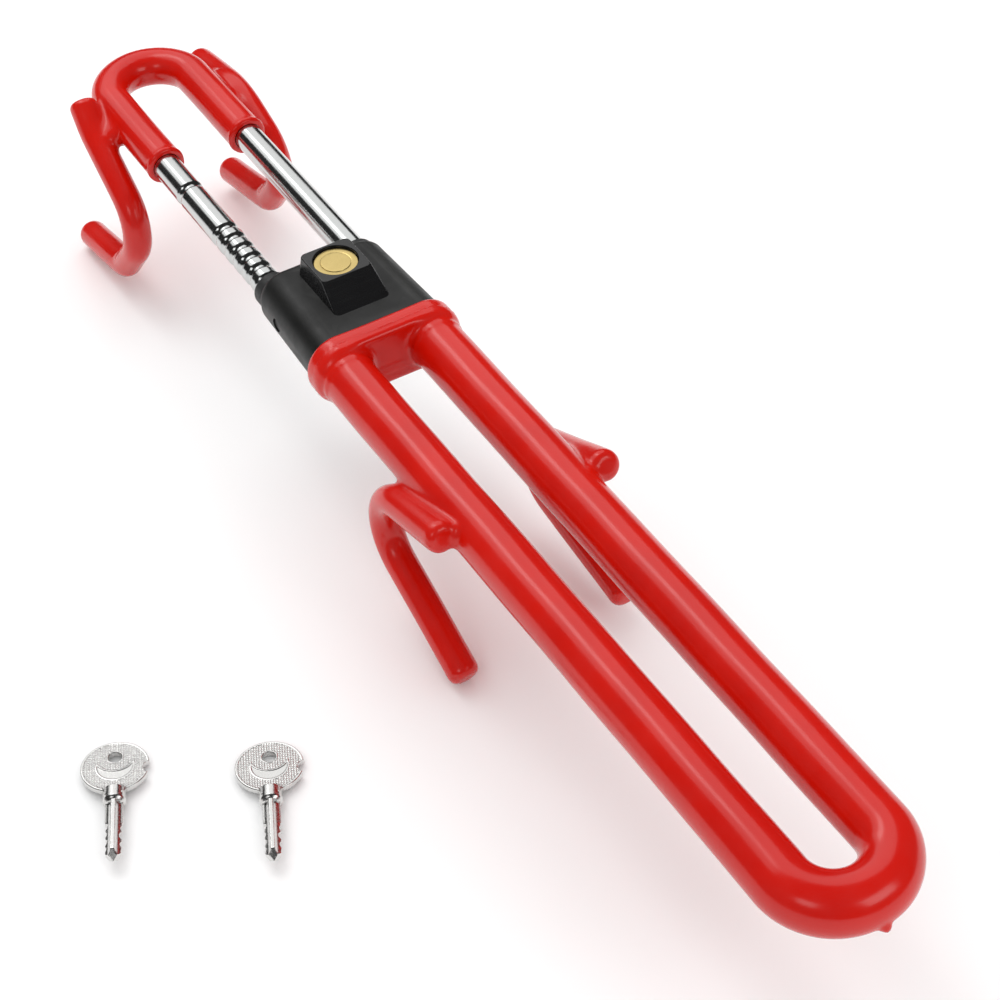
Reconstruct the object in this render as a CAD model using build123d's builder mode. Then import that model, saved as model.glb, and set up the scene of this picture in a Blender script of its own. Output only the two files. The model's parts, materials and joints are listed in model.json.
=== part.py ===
# Steering wheel lock: a U handle and a sliding U head, each with two hooks, joined by two rods
# that run through a lock housing into the handle's tubes. A key cylinder in the housing drives a
# latch bolt into ring grooves on the left rod.
#
# Frame: millimetres, +Z up, +Y from the handle to the head, +X to the right.
# Origin: where the key cylinder's axis meets the flat underside of the housing.
# The head is at the middle of its travel, and the latch bolt is withdrawn.
from build123d import *
import os
from math import asin, cos, degrees, radians, sin

os.makedirs("parts", exist_ok=True)

# ---- tubes, rods and coating ----
AXIS_Z = 12.0                # height of the tube and rod axes above the housing's underside
HALF_SPACING = 19.0          # each tube and rod stands this far from the middle plane
ROD_R = 6.0
TUBE_R = 9.5
TUBE_BORE_R = 7.7
COAT = 1.1                   # thickness of the dipped coating
HANDLE_BEND_Y = -319.0       # centre of the handle's end bend
SOCKET_Y = -22.0             # front ends of the handle tubes, inside the housing
ROD_END_Y = -215.0           # hidden ends of the rods
ROD_RUN_R = 6.5              # clearance bore for a rod in the housing
STOP_LENGTH = 12.0

# ---- grooves and latch ----
GROOVE_PITCH = 7.5
FRONT_GROOVE = 60.0          # front ring of the row of grooves
GROOVE_COUNT = 33
STOW_GROOVE = 92.5           # the lone ring that the latch takes when the head is pushed home
GROOVE_DEPTH = 1.1
GROOVE_FLOOR_R = 1.9         # concave arc at the bottom of a ring
GROOVE_EDGE_R = 1.2          # convex arc where a ring meets the rod's surface
LATCH_TRAVEL = 1.5
NOSE_R = 2.0
NOSE_GAP = 0.2               # between the engaged nose and the bottom of its ring

# ---- housing ----
HOUSING_FRONT = 17.0
HOUSING_BACK = -31.5
HOUSING_TOP = 24.0
HOUSING_HALF_FRONT = 27.2
HOUSING_HALF_BACK = 29.2
HOUSING_CORNER = 11.0
HOUSING_FRONT_ROUND = 4.0
BUSH_FRONT = 22.0
BUSH_BACK = 6.5
BUSH_R = 7.6
BUSH_GAP = 0.06              # running clearance of a rod in its bush
BUSH_ROUND = 1.2
FLANGE_BACK = -40.7
FLANGE_HALF_WIDTH = 31.0
FLANGE_HALF_HEIGHT = 13.2
FLANGE_CORNER = 12.4
FLANGE_ROUND = 3.1
PLATE_T = 8.0

# ---- boss and cylinder ----
BOSS_TOP = 32.2
BOSS_WALL = 1.7
SEAT_R = 8.8                 # round seat of the cover in the boss
SHELL_R = 7.7
SHELL_BOTTOM = 5.9
SHELL_RIM_R = 8.7
SHELL_RIM_T = 2.0
PLUG_R = 4.6
PLUG_BORE_R = 4.66
PLUG_BOTTOM = 4.7
PLUG_TOP = 29.8
KEYWAY_BOTTOM = 6.0
KEY_SPAN = 6.4
KEY_WEB = 2.0
KEY_GAP = 0.15
PIN_R = 0.8
PIN_LEVELS = (26.8, 22.6, 18.4)
COVER_R = 8.6
COVER_T = 1.0
COVER_Z = 30.2
CAM_R = 4.0
CAM_THROW = LATCH_TRAVEL / (2 * sin(radians(45)))
CAM_PIN_R = 1.3
BOTTOM_T = 1.4

# ---- head ----
HEAD_R = 7.0
HEAD_BORE_R = 6.0            # the rods' ends are brazed into it
HEAD_BEND_Y = 169.0
HEAD_TUBE_END = 118.4
LIP_Y = 116.4
LIP_BORE_R = 6.5
ROD_FRONT_Y = 150.0

# ---- hooks ----
HOOK_R = 5.0
HOOK_END_ROUND = 3.0
CORE_END_ROUND = 2.0
SIDES = {"right": 1, "left": -1}

# ---- keys ----
BOW_R = 12.4
BOW_T = 2.2
COLLAR_R = 4.2
COLLAR_LENGTH = 7.0
BLADE_LENGTH = 26.6
KEY_PLACES = ((-159.5, -116.0, -53.2), (-113.0, -146.0, -52.7))   # bow centres and the ground
KEY_HEADING = 24.7           # turn of the keys about the vertical, degrees


def tube_path(y_end, y_bend, side_sign):
    """Open U in the plane of the tubes: leg, half-circle bend and leg."""
    bend = (0, y_bend + side_sign * HALF_SPACING, AXIS_Z)
    left = (-HALF_SPACING, y_bend, AXIS_Z)
    right = (HALF_SPACING, y_bend, AXIS_Z)
    with BuildLine() as path:
        Line((-HALF_SPACING, y_end, AXIS_Z), left)
        ThreePointArc(left, bend, right)
        Line(right, (HALF_SPACING, y_end, AXIS_Z))
    return path.line


def swept_rod(path, radius, end_round=0.0):
    """Round bar along a path, its two end faces optionally rounded."""
    with BuildPart() as bar:
        with BuildSketch(Plane(path @ 0, z_dir=path % 0)):
            Circle(radius)
        sweep(path=path)
        if end_round:
            ends = bar.faces().filter_by(GeomType.PLANE)
            fillet(ends.edges(), end_round)
    return bar.part


def finish(part, name):
    """Label a finished piece and write it to its STEP file."""
    part.label = name
    export_step(part, f"parts/{name}.step")
    volume = sum(solid.volume for solid in part.solids())
    print(f"{name:26s} {len(part.solids()):3d} solids {volume:10.1f} mm3")


# =====================================================================================
# Hooks
# =====================================================================================
# Each hook lies in its own plane, which stands out from the middle, runs along the lock and leans
# a little. The corners of its centreline are (along, up) in that plane, from the tubes' height.
# The four are bent and welded by hand, so a left one is not quite the mirror of a right one.
REAR_HOOKS = {
    "right": {"out": 33.7, "lean": -0.017, "radii": (14.3,),
              "corners": ((-139.6, 4.4), (-58.0, -36.9), (-151.9, -52.9))},
    "left": {"out": 33.7, "lean": 0.001, "radii": (17.5,),
             "corners": ((-138.5, 3.7), (-61.3, -18.8), (-149.0, -58.8))},
}
HEAD_HOOKS = {
    "right": {"out": 32.0, "lean": -0.037, "radii": (37.0, 16.8, 13.2),
              "corners": ((193.0, -9.9), (152.7, -2.2), (109.6, -19.7), (135.8, -51.2),
                          (179.2, -62.4))},
    "left": {"out": 33.4, "lean": -0.060, "radii": (34.0, 16.7, 9.0),
             "corners": ((169.3, 6.7), (159.2, -2.9), (112.0, -27.0), (137.0, -58.1),
                         (175.5, -65.6))},
}


def hook_bar(hook, sign, radius, end_round, extra):
    """Round bar along a hook's centreline, each end lengthened by extra."""
    plane = Plane((sign * hook["out"], 0, AXIS_Z), x_dir=(0, 1, 0), z_dir=(1, 0, -sign * hook["lean"]))
    corners = hook["corners"]
    start = Vector(*corners[0])
    end = Vector(*corners[-1])
    start += (start - Vector(*corners[1])).normalized() * extra
    end += (end - Vector(*corners[-2])).normalized() * extra
    points = [(start.X, start.Y)] + list(corners[1:-1]) + [(end.X, end.Y)]
    with BuildLine(plane) as path:
        FilletPolyline(*points, radius=hook["radii"])
    return swept_rod(path.line, radius, end_round)


def hook_cores(hooks):
    """Steel bars of a pair of hooks."""
    return {side: hook_bar(hooks[side], sign, HOOK_R, CORE_END_ROUND, 0.0)
            for side, sign in SIDES.items()}


rear_cores = hook_cores(REAR_HOOKS)
head_cores = hook_cores(HEAD_HOOKS)


def weld_beads(tube_radius, y_from, y_to, spots, bead_r, cores):
    """Beads between the tubes and both hooks' roots; spots are (out from the tube, up)."""
    with BuildPart() as beads:
        with BuildSketch(Plane.XZ.offset(-y_from)):
            for sign in SIDES.values():
                for out, up in spots:
                    with Locations((sign * (HALF_SPACING + tube_radius + out), AXIS_Z + up)):
                        Circle(bead_r)
        extrude(amount=-(y_to - y_from))
        with BuildSketch(Plane.XZ.offset(-y_from)):
            with Locations((-HALF_SPACING, AXIS_Z), (HALF_SPACING, AXIS_Z)):
                Circle(tube_radius)
        extrude(amount=-(y_to - y_from), mode=Mode.SUBTRACT)
        for core in cores.values():
            add(core, mode=Mode.SUBTRACT)
    return beads.part


def export_hooks(prefix, hooks, cores, tube_skin, beads):
    """Both hooks' cores and coatings; a coating ends where the tube's own coating begins."""
    for side, sign in SIDES.items():
        with BuildPart() as coating:
            add(hook_bar(hooks[side], sign, HOOK_R + COAT, HOOK_END_ROUND, COAT))
            add(cores[side], mode=Mode.SUBTRACT)
            add(tube_skin, mode=Mode.SUBTRACT)
            add(beads, mode=Mode.SUBTRACT)
        largest = coating.solids().sort_by(SortBy.VOLUME)[-1]
        finish(cores[side], f"{prefix}_hook_{side}")
        finish(Part([largest]), f"{prefix}_hook_coating_{side}")


# =====================================================================================
# Handle
# =====================================================================================
handle_line = tube_path(SOCKET_Y, HANDLE_BEND_Y, -1)
with BuildPart() as handle_tube:
    add(swept_rod(handle_line, TUBE_R))
    add(swept_rod(handle_line, TUBE_BORE_R), mode=Mode.SUBTRACT)
finish(handle_tube.part, "handle_tube")

REAR_WELD = (-137.0, -126.0)
rear_beads = weld_beads(TUBE_R, *REAR_WELD, ((0.2, 2.4), (0.2, -2.4)), 1.0, rear_cores)
finish(rear_beads, "rear_hook_welds")

coat_line = tube_path(FLANGE_BACK, HANDLE_BEND_Y, -1)
handle_skin = swept_rod(coat_line, TUBE_R + COAT)
with BuildPart() as handle_coating:
    add(handle_skin)
    add(swept_rod(coat_line, TUBE_R), mode=Mode.SUBTRACT)
    for core in rear_cores.values():
        add(core, mode=Mode.SUBTRACT)
    add(rear_beads, mode=Mode.SUBTRACT)
finish(handle_coating.part, "handle_coating")
export_hooks("rear", REAR_HOOKS, rear_cores, handle_skin, rear_beads)

# End plate: the handle tubes are welded into it, and the coating wraps its back and rim.
with BuildPart() as end_plate:
    with BuildSketch(Plane.XZ.offset(-HOUSING_BACK)):
        with Locations((0, AXIS_Z)):
            RectangleRounded(2 * (FLANGE_HALF_WIDTH - COAT), 2 * (FLANGE_HALF_HEIGHT - COAT),
                             FLANGE_CORNER - COAT)
        with Locations((-HALF_SPACING, AXIS_Z), (HALF_SPACING, AXIS_Z)):
            Circle(TUBE_R, mode=Mode.SUBTRACT)
    extrude(amount=PLATE_T)
    back_face = end_plate.faces().sort_by(Axis.Y)[0]
    fillet(back_face.outer_wire().edges(), FLANGE_ROUND - COAT)
finish(end_plate.part, "end_plate")

with BuildPart() as flange_coating:
    with BuildSketch(Plane.XZ.offset(-HOUSING_BACK)):
        with Locations((0, AXIS_Z)):
            RectangleRounded(2 * FLANGE_HALF_WIDTH, 2 * FLANGE_HALF_HEIGHT, FLANGE_CORNER)
        with Locations((-HALF_SPACING, AXIS_Z), (HALF_SPACING, AXIS_Z)):
            Circle(TUBE_R, mode=Mode.SUBTRACT)
    extrude(amount=HOUSING_BACK - FLANGE_BACK)
    rear_face = flange_coating.faces().sort_by(Axis.Y)[0]
    fillet(rear_face.outer_wire().edges(), FLANGE_ROUND)
    add(end_plate.part, mode=Mode.SUBTRACT)
finish(flange_coating.part, "flange_coating")

# =====================================================================================
# Lock housing and what closes it
# =====================================================================================
POCKET_X = (-11.4, 6.5)      # the latch bolt's pocket
POCKET_Y = (-3.4, 3.8)
UPRIGHT_X = -7.6             # inner side of the slot that the bolt's upright moves in
UPRIGHT_HALF_Y = 3.2
UPRIGHT_TOP = 15.2
CAM_BORE_R = 6.6
SIDE_HOLE_R = 2.9
NOSE_BORE_R = 2.15
COVER_SIZE = (28.0, 22.0)    # bottom cover
COVER_CORNER = 2.0
SCREW_AT = (11.0, 8.2)
SCREW_R = 1.25
SCREW_HEAD_R = 2.3
SCREW_LENGTH = 8.0
SCREW_SLOT = (2.4, 0.5, 0.8)         # length, width and depth of the screws' cross slots
SIDE_PLUG = (0.1, 1.6, 0.4)          # gap to the rod's bore, thickness and chamfer
PIN_Z = 14.0                 # the cylinder's retaining pin
PIN_BACK = 6.4
PIN_FRONT = 16.6
RETAINING_PIN_R = 1.25


def screw_places():
    """Centres of the four bottom cover screws."""
    return [(sx * SCREW_AT[0], sy * SCREW_AT[1]) for sx in (-1, 1) for sy in (-1, 1)]


with BuildPart() as lock_housing:
    with BuildSketch(Plane.XZ.offset(-HOUSING_BACK)):
        with Locations((0, AXIS_Z)):
            RectangleRounded(2 * HOUSING_HALF_BACK, HOUSING_TOP, HOUSING_CORNER)
    with BuildSketch(Plane.XZ.offset(-HOUSING_FRONT)):
        with Locations((0, AXIS_Z)):
            RectangleRounded(2 * HOUSING_HALF_FRONT, HOUSING_TOP, HOUSING_CORNER)
    loft()
    front = lock_housing.faces().sort_by(Axis.Y)[-1]
    fillet(front.edges(), HOUSING_FRONT_ROUND)
    for y_from, y_to, radius in ((HOUSING_BACK, SOCKET_Y, TUBE_R), (SOCKET_Y, BUSH_BACK, ROD_RUN_R),
                                 (BUSH_BACK, HOUSING_FRONT, BUSH_R)):
        with BuildSketch(Plane.XZ.offset(-y_from)):
            with Locations((-HALF_SPACING, AXIS_Z), (HALF_SPACING, AXIS_Z)):
                Circle(radius)
        extrude(amount=-(y_to - y_from), mode=Mode.SUBTRACT)
    # cylinder bore, cam space, latch pocket and the slot for its upright
    with BuildSketch(Plane.XY.offset(SHELL_BOTTOM)):
        Circle(SHELL_R)
    extrude(amount=HOUSING_TOP, mode=Mode.SUBTRACT)
    with BuildSketch(Plane.XY.offset(BOTTOM_T)):
        Circle(CAM_BORE_R)
        with Locations(((POCKET_X[0] + POCKET_X[1]) / 2, (POCKET_Y[0] + POCKET_Y[1]) / 2)):
            Rectangle(POCKET_X[1] - POCKET_X[0], POCKET_Y[1] - POCKET_Y[0])
    extrude(amount=SHELL_BOTTOM - BOTTOM_T, mode=Mode.SUBTRACT)
    with BuildSketch(Plane.XY.offset(BOTTOM_T)):
        with Locations(((POCKET_X[0] + UPRIGHT_X) / 2, 0)):
            Rectangle(UPRIGHT_X - POCKET_X[0], 2 * UPRIGHT_HALF_Y)
    extrude(amount=UPRIGHT_TOP - BOTTOM_T, mode=Mode.SUBTRACT)
    # bore for the bolt's nose, and the hole it is drilled from
    with BuildSketch(Plane.YZ.offset(POCKET_X[0])):
        with Locations((0, AXIS_Z)):
            Circle(NOSE_BORE_R)
    extrude(amount=-HALF_SPACING + ROD_RUN_R, mode=Mode.SUBTRACT)
    with BuildSketch(Plane.YZ.offset(-HALF_SPACING)):
        with Locations((0, AXIS_Z)):
            Circle(SIDE_HOLE_R)
    extrude(amount=-HALF_SPACING, mode=Mode.SUBTRACT)
    # retaining pin hole, bottom cover recess and screw holes
    with BuildSketch(Plane.XZ.offset(-HOUSING_FRONT)):
        with Locations((0, PIN_Z)):
            Circle(RETAINING_PIN_R)
    extrude(amount=HOUSING_FRONT - PIN_BACK, mode=Mode.SUBTRACT)
    with BuildSketch(Plane.XY):
        RectangleRounded(*COVER_SIZE, COVER_CORNER)
    extrude(amount=BOTTOM_T, mode=Mode.SUBTRACT)
    with BuildSketch(Plane.XY):
        with Locations(*screw_places()):
            Circle(SCREW_R)
    extrude(amount=SCREW_LENGTH, mode=Mode.SUBTRACT)
finish(lock_housing.part, "lock_housing")

for side, sign in (("left", -1), ("right", 1)):
    with BuildPart() as guide_bush:
        with BuildSketch(Plane.XZ.offset(-BUSH_BACK)):
            with Locations((sign * HALF_SPACING, AXIS_Z)):
                Circle(BUSH_R)
                Circle(ROD_R + BUSH_GAP, mode=Mode.SUBTRACT)
        extrude(amount=BUSH_BACK - BUSH_FRONT)
        nose = guide_bush.faces().sort_by(Axis.Y)[-1]
        fillet(nose.outer_wire().edges(), BUSH_ROUND)
    finish(guide_bush.part, f"guide_bush_{side}")

with BuildPart() as side_plug:
    with BuildSketch(Plane.YZ.offset(-HALF_SPACING - ROD_RUN_R - SIDE_PLUG[0])):
        with Locations((0, AXIS_Z)):
            Circle(SIDE_HOLE_R)
    extrude(amount=-SIDE_PLUG[1])
    chamfer(side_plug.faces().sort_by(Axis.X)[0].edges(), SIDE_PLUG[2])
finish(side_plug.part, "side_plug")

with BuildPart() as bottom_cover:
    with BuildSketch(Plane.XY):
        RectangleRounded(*COVER_SIZE, COVER_CORNER)
    extrude(amount=BOTTOM_T)
    with BuildSketch(Plane.XY):
        with Locations(*screw_places()):
            Circle(SCREW_HEAD_R)
    extrude(amount=SCREW_HEAD_R - SCREW_R, taper=45, mode=Mode.SUBTRACT)
    with BuildSketch(Plane.XY):
        with Locations(*screw_places()):
            Circle(SCREW_R)
    extrude(amount=BOTTOM_T, mode=Mode.SUBTRACT)
finish(bottom_cover.part, "bottom_cover")

with BuildPart() as bottom_cover_screws:
    with BuildSketch(Plane.XY):
        with Locations(*screw_places()):
            Circle(SCREW_HEAD_R)
    extrude(amount=SCREW_HEAD_R - SCREW_R, taper=45)
    with BuildSketch(Plane.XY):
        with Locations(*screw_places()):
            Circle(SCREW_R)
    extrude(amount=SCREW_LENGTH)
    with BuildSketch(Plane.XY):
        with Locations(*screw_places()):
            Rectangle(SCREW_SLOT[0], SCREW_SLOT[1])
            Rectangle(SCREW_SLOT[1], SCREW_SLOT[0])
    extrude(amount=SCREW_SLOT[2], mode=Mode.SUBTRACT)
finish(bottom_cover_screws.part, "bottom_cover_screws")

with BuildPart() as cylinder_pin:
    with BuildSketch(Plane.XZ.offset(-PIN_FRONT)):
        with Locations((0, PIN_Z)):
            Circle(RETAINING_PIN_R)
    extrude(amount=PIN_FRONT - PIN_BACK)
finish(cylinder_pin.part, "cylinder_pin")

# =====================================================================================
# Boss cover: square at the top, its front face sloping down to the housing
# =====================================================================================
BOSS_BASE = (23.8, 32.0, -5.4)     # width, length and centre along Y, at the housing's top
BOSS_HEAD = (21.4, 20.0, 0.2)      # the same at the boss's top
BOSS_CEILING = 29.8
BOSS_CORNER = 2.4
BOSS_EDGE = 0.6
SEAT_CHAMFER = 0.3


def boss_solid(wall, top):
    """Tapered block of the boss, smaller by wall on every side."""
    with BuildPart() as block:
        for (width, length, middle), z in ((BOSS_BASE, HOUSING_TOP), (BOSS_HEAD, top)):
            with BuildSketch(Plane.XY.offset(z)):
                with Locations((0, middle)):
                    RectangleRounded(width - 2 * wall, length - 2 * wall, BOSS_CORNER - wall)
        loft()
    return block.part


with BuildPart() as boss_cover:
    add(boss_solid(0.0, BOSS_TOP))
    fillet(boss_cover.faces().sort_by(Axis.Z)[-1].edges(), BOSS_EDGE)
    add(boss_solid(BOSS_WALL, BOSS_CEILING), mode=Mode.SUBTRACT)
    with BuildSketch(Plane.XY.offset(HOUSING_TOP)):
        Circle(SEAT_R)
    extrude(amount=BOSS_TOP - HOUSING_TOP, mode=Mode.SUBTRACT)
    rim = boss_cover.faces().sort_by(Axis.Z)[-1].inner_wires()
    chamfer(rim[0].edges(), SEAT_CHAMFER)
finish(boss_cover.part, "boss_cover")

# =====================================================================================
# Key cylinder
# =====================================================================================
SPRING_WIRE_R = 0.14
SPRING_R = 0.55
SPRING_TURNS = 3
SPRING_GAP = 0.2             # at each end of a spring
KEY_PIN_INNER = (2.7, 3.1, 2.5)     # inner ends of the key pins, one for each level
KEY_PIN_OUTER = 4.5
DRIVER_INNER = 4.75
DRIVER_OUTER = 5.9
CHAMBER_GAP = 0.05


def radial_pins(radius, levels):
    """One pin in each of four directions at each level; levels hold (z, inner, outer)."""
    for z, inner, outer in levels:
        with Locations((0, 0, z)):
            with PolarLocations((inner + outer) / 2, 4):
                Cylinder(radius, outer - inner, rotation=(0, 90, 0))


with BuildPart() as chambers:
    radial_pins(PIN_R + CHAMBER_GAP, [(z, 2.0, SHELL_R + 1.0) for z in PIN_LEVELS])

with BuildPart() as cylinder_shell:
    with BuildSketch(Plane.XY.offset(SHELL_BOTTOM)):
        Circle(SHELL_R)
    extrude(amount=COVER_Z - 0.1 - SHELL_BOTTOM)
    with BuildSketch(Plane.XY.offset(HOUSING_TOP)):
        Circle(SHELL_RIM_R)
    extrude(amount=SHELL_RIM_T)
    with BuildSketch(Plane.XY.offset(SHELL_BOTTOM)):
        Circle(PLUG_BORE_R)
    extrude(amount=COVER_Z, mode=Mode.SUBTRACT)
    add(chambers.part, mode=Mode.SUBTRACT)
    add(cylinder_pin.part, mode=Mode.SUBTRACT)
finish(cylinder_shell.part, "cylinder_shell")

with BuildPart() as driver_pins:
    radial_pins(PIN_R, [(z, DRIVER_INNER, DRIVER_OUTER) for z in PIN_LEVELS])
finish(driver_pins.part, "driver_pins")

with BuildPart() as one_spring:
    spring_height = SHELL_R - DRIVER_OUTER - 2 * SPRING_GAP
    with BuildLine() as coil:
        Helix(pitch=spring_height / SPRING_TURNS, height=spring_height, radius=SPRING_R)
    with BuildSketch(Plane(coil.line @ 0, z_dir=coil.line % 0)):
        Circle(SPRING_WIRE_R)
    sweep(is_frenet=True)

with BuildPart() as pin_springs:
    for level in PIN_LEVELS:
        with Locations((0, 0, level)):
            with PolarLocations(DRIVER_OUTER + SPRING_GAP, 4):
                add(one_spring.part, rotation=(0, 90, 0))
finish(pin_springs.part, "pin_springs")

CLIP_Z = (4.9, 5.7)
CLIP_GROOVE_R = 3.9
CLIP_MOUTH = 6.2
with BuildPart() as cylinder_plug:
    with BuildSketch(Plane.XY.offset(PLUG_BOTTOM)):
        Circle(PLUG_R)
    extrude(amount=PLUG_TOP - PLUG_BOTTOM)
    with BuildSketch(Plane.XY.offset(CLIP_Z[0])):
        Circle(PLUG_R)
        Circle(CLIP_GROOVE_R, mode=Mode.SUBTRACT)
    extrude(amount=CLIP_Z[1] - CLIP_Z[0], mode=Mode.SUBTRACT)
    with BuildSketch(Plane.XY.offset(KEYWAY_BOTTOM)):
        Rectangle(KEY_SPAN + 2 * KEY_GAP, KEY_WEB + 2 * KEY_GAP)
        Rectangle(KEY_WEB + 2 * KEY_GAP, KEY_SPAN + 2 * KEY_GAP)
    extrude(amount=PLUG_TOP - KEYWAY_BOTTOM, mode=Mode.SUBTRACT)
    add(chambers.part, mode=Mode.SUBTRACT)
finish(cylinder_plug.part, "cylinder_plug")

with BuildPart() as key_pins:
    radial_pins(PIN_R, [(z, inner, KEY_PIN_OUTER) for z, inner in zip(PIN_LEVELS, KEY_PIN_INNER)])
finish(key_pins.part, "key_pins")

with BuildPart() as plug_clip:
    with BuildSketch(Plane.XY.offset(CLIP_Z[0])):
        Circle(CAM_BORE_R - 0.4)
        Circle(CLIP_GROOVE_R, mode=Mode.SUBTRACT)
        with Locations((0, -CAM_R)):
            Rectangle(CLIP_MOUTH, 2 * CAM_R, mode=Mode.SUBTRACT)
    extrude(amount=CLIP_Z[1] - CLIP_Z[0])
finish(plug_clip.part, "plug_clip")

# The cam's eccentric pin stands 45 degrees ahead of the middle of its quarter turn.
CAM_BOTTOM = 3.5
CAM_PIN_BOTTOM = 1.7
CAM_PIN_AT = (CAM_THROW * cos(radians(45)), CAM_THROW * sin(radians(45)))
with BuildPart() as plug_cam:
    with BuildSketch(Plane.XY.offset(CAM_BOTTOM)):
        Circle(CAM_R)
    extrude(amount=PLUG_BOTTOM - CAM_BOTTOM)
    with BuildSketch(Plane.XY.offset(CAM_PIN_BOTTOM)):
        with Locations(CAM_PIN_AT):
            Circle(CAM_PIN_R)
    extrude(amount=CAM_BOTTOM - CAM_PIN_BOTTOM)
finish(plug_cam.part, "plug_cam")

BOLT_PLATE_Z = (1.6, 3.3)
BOLT_X = (-9.6, 6.0)
BOLT_UPRIGHT_INNER = -7.95
BOLT_TOP = 14.9
BOLT_WIDTH = 6.0
BOLT_MIDDLE_Y = 0.2
BOLT_SLOT = (2 * CAM_PIN_R + 0.2, 3.7, 0.9)      # width, length and middle of the pin's slot
UPRIGHT_WIDTH = 5.6
NOSE_CENTRE_X = -HALF_SPACING + ROD_R - GROOVE_DEPTH + NOSE_GAP + NOSE_R + LATCH_TRAVEL
with BuildPart() as latch_bolt:
    with BuildSketch(Plane.XY.offset(BOLT_PLATE_Z[0])):
        with Locations(((BOLT_X[0] + BOLT_X[1]) / 2, BOLT_MIDDLE_Y)):
            Rectangle(BOLT_X[1] - BOLT_X[0], BOLT_WIDTH)
        with Locations((CAM_PIN_AT[0], BOLT_SLOT[2])):
            Rectangle(BOLT_SLOT[0], BOLT_SLOT[1], mode=Mode.SUBTRACT)
    extrude(amount=BOLT_PLATE_Z[1] - BOLT_PLATE_Z[0])
    with BuildSketch(Plane.XY.offset(BOLT_PLATE_Z[0])):
        with Locations(((BOLT_X[0] + BOLT_UPRIGHT_INNER) / 2, 0)):
            Rectangle(BOLT_UPRIGHT_INNER - BOLT_X[0], UPRIGHT_WIDTH)
    extrude(amount=BOLT_TOP - BOLT_PLATE_Z[0])
    with BuildSketch(Plane.YZ.offset(BOLT_X[0])):
        with Locations((0, AXIS_Z)):
            Circle(NOSE_R)
    extrude(amount=NOSE_CENTRE_X - BOLT_X[0])
    with Locations((NOSE_CENTRE_X, 0, AXIS_Z)):
        Sphere(NOSE_R)
finish(latch_bolt.part, "latch_bolt")

COVER_STEP = 0.15            # the middle of the cover stands this much above its rim
COVER_MIDDLE_R = 5.9
with BuildPart() as keyway_cover:
    with BuildSketch(Plane.XY.offset(COVER_Z)):
        Circle(COVER_R)
    extrude(amount=COVER_T - COVER_STEP)
    with BuildSketch(Plane.XY.offset(COVER_Z + COVER_T - COVER_STEP)):
        Circle(COVER_MIDDLE_R)
    extrude(amount=COVER_STEP)
    edge_rings = keyway_cover.edges().filter_by(GeomType.CIRCLE).sort_by(SortBy.RADIUS)
    chamfer(edge_rings[-2:].sort_by(Axis.Z)[-1], 0.2)
finish(keyway_cover.part, "keyway_cover")

# =====================================================================================
# Rods
# =====================================================================================
def groove_profile(middle, rod_radius):
    """Arcs of one ring, drawn from its rear edge to its front edge: (along, out) points."""
    arc_sum = GROOVE_FLOOR_R + GROOVE_EDGE_R
    flank = 1 - GROOVE_DEPTH / arc_sum
    angle = degrees(asin((1 - flank**2) ** 0.5))
    half = arc_sum * sin(radians(angle))
    floor_share = GROOVE_FLOOR_R / arc_sum
    floor_out = rod_radius - GROOVE_DEPTH
    join = floor_out + GROOVE_FLOOR_R * (1 - flank)
    edge_mid_angle = radians(angle / 2)
    edge_mid = (half - GROOVE_EDGE_R * sin(edge_mid_angle),
                rod_radius - GROOVE_EDGE_R * (1 - cos(edge_mid_angle)))
    ThreePointArc((middle - half, rod_radius), (middle - edge_mid[0], edge_mid[1]),
                  (middle - half * floor_share, join))
    ThreePointArc((middle - half * floor_share, join), (middle, floor_out),
                  (middle + half * floor_share, join))
    ThreePointArc((middle + half * floor_share, join), (middle + edge_mid[0], edge_mid[1]),
                  (middle + half, rod_radius))
    return middle - half, middle + half


groove_places = [FRONT_GROOVE - i * GROOVE_PITCH for i in reversed(range(GROOVE_COUNT))]
groove_places.append(STOW_GROOVE)
ROD_CHAMFER = 1.0


def rod(sign, grooves):
    """Rod turned about its own axis; its profile runs along the row's Y."""
    profile_plane = Plane((sign * HALF_SPACING, 0, AXIS_Z), x_dir=(0, 1, 0), z_dir=(1, 0, 0))
    with BuildPart() as bar:
        with BuildSketch(profile_plane):
            with BuildLine():
                Line((ROD_END_Y, 0), (ROD_END_Y, ROD_R - ROD_CHAMFER))
                Line((ROD_END_Y, ROD_R - ROD_CHAMFER), (ROD_END_Y + ROD_CHAMFER, ROD_R))
                reached = ROD_END_Y + ROD_CHAMFER
                for middle in grooves:
                    rear, front = groove_profile(middle, ROD_R)
                    Line((reached, ROD_R), (rear, ROD_R))
                    reached = front
                Line((reached, ROD_R), (ROD_FRONT_Y, ROD_R))
                Line((ROD_FRONT_Y, ROD_R), (ROD_FRONT_Y, 0))
                Line((ROD_FRONT_Y, 0), (ROD_END_Y, 0))
            make_face()
        revolve(axis=Axis((sign * HALF_SPACING, 0, AXIS_Z), (0, 1, 0)))
    return bar.part


finish(rod(-1, groove_places), "rod_notched")
finish(rod(1, []), "rod_plain")

with BuildPart() as rod_stops:
    with BuildSketch(Plane.XZ.offset(-ROD_END_Y)):
        with Locations((-HALF_SPACING, AXIS_Z), (HALF_SPACING, AXIS_Z)):
            Circle(TUBE_BORE_R - 0.1)
            Circle(ROD_R, mode=Mode.SUBTRACT)
    extrude(amount=-STOP_LENGTH)
finish(rod_stops.part, "rod_stops")

# =====================================================================================
# Head
# =====================================================================================
head_line = tube_path(HEAD_TUBE_END, HEAD_BEND_Y, 1)
with BuildPart() as head_tube:
    add(swept_rod(head_line, HEAD_R))
    add(swept_rod(head_line, HEAD_BORE_R), mode=Mode.SUBTRACT)
finish(head_tube.part, "head_tube")

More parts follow.
